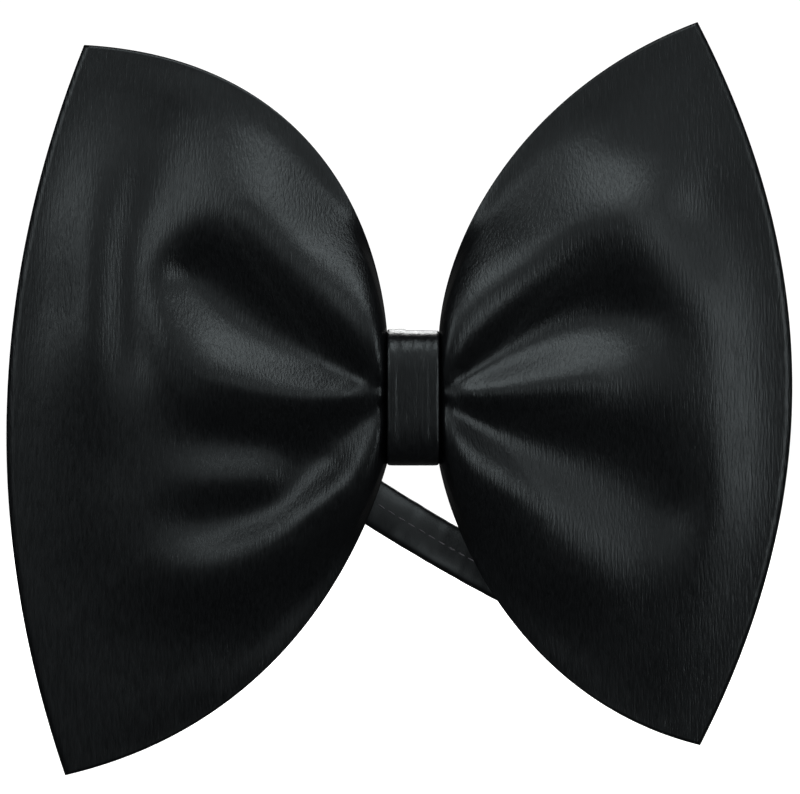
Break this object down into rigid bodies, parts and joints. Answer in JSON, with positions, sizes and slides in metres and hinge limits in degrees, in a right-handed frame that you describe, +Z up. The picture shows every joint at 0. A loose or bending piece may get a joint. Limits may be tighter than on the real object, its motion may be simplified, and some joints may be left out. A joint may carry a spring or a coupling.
{
  "type": "bow tie",
  "caption": "Pre-tied satin bow tie: pinched two-panel bow in a wrapped knot, on an elastic neck band with slide adjuster, hook and eye.",
  "frame": {"origin": "middle of the flat back of the knot, where it rests on the collar button", "axes": "+Y out of the knot's flat back, towards the neck; +Z up; +X to the right as seen from the front"},
  "size_m": [0.1202, 0.1311, 0.1152],
  "materials": {
    "bow_satin": "black polyester satin, soft sheen",
    "band_satin": "black satin tube",
    "interlining": "black non-woven stiffener",
    "thread": "black polyester thread",
    "elastic": "black woven elastic",
    "nickel": "nickel-plated steel"
  },
  "bodies": {
    "bow": {"front_panel": "bow_satin", "back_panel": "bow_satin", "interlining": "interlining", "left_edge_stitches": "thread", "right_edge_stitches": "thread", "back_seam_stitches": "thread", "gather_thread": "thread", "knot_wrap": "bow_satin", "knot_lining": "interlining", "knot_stitches": "thread"},
    "band": {"neck_band": "band_satin", "band_elastic": "elastic", "band_seam": "thread", "band_tail": "band_satin", "tail_stitches": "thread", "eye_tab": "band_satin", "eye_bartacks": "thread"},
    "eye": {"eye": "nickel"},
    "hook": {"hook": "nickel"},
    "adjuster": {"adjuster": "nickel"}
  },
  "joints": [
    {"name": "band_shift", "type": "hinge", "parent": "bow", "child": "band", "pos_m": [-0.00538, 0.05355, -0.00828], "axis": [0.5367, 0.1702, 0.8264], "range_deg": [-8, 8]},
    {"name": "adjuster_slide", "type": "hinge", "parent": "band", "child": "adjuster", "pos_m": [-0.00538, 0.05355, -0.00828], "axis": [0.5367, 0.1702, 0.8264], "range_deg": [-6, 7]},
    {"name": "hook_release", "type": "hinge", "parent": "band", "child": "hook", "pos_m": [-0.04379, 0.09515, 0.0081], "axis": [0.5367, 0.1702, 0.8264], "range_deg": [0, 70]},
    {"name": "eye_flip", "type": "hinge", "parent": "band", "child": "eye", "pos_m": [-0.03305, 0.10435, -0.00077], "axis": [0.5367, 0.1702, 0.8264], "range_deg": [0, 30]}
  ]
}
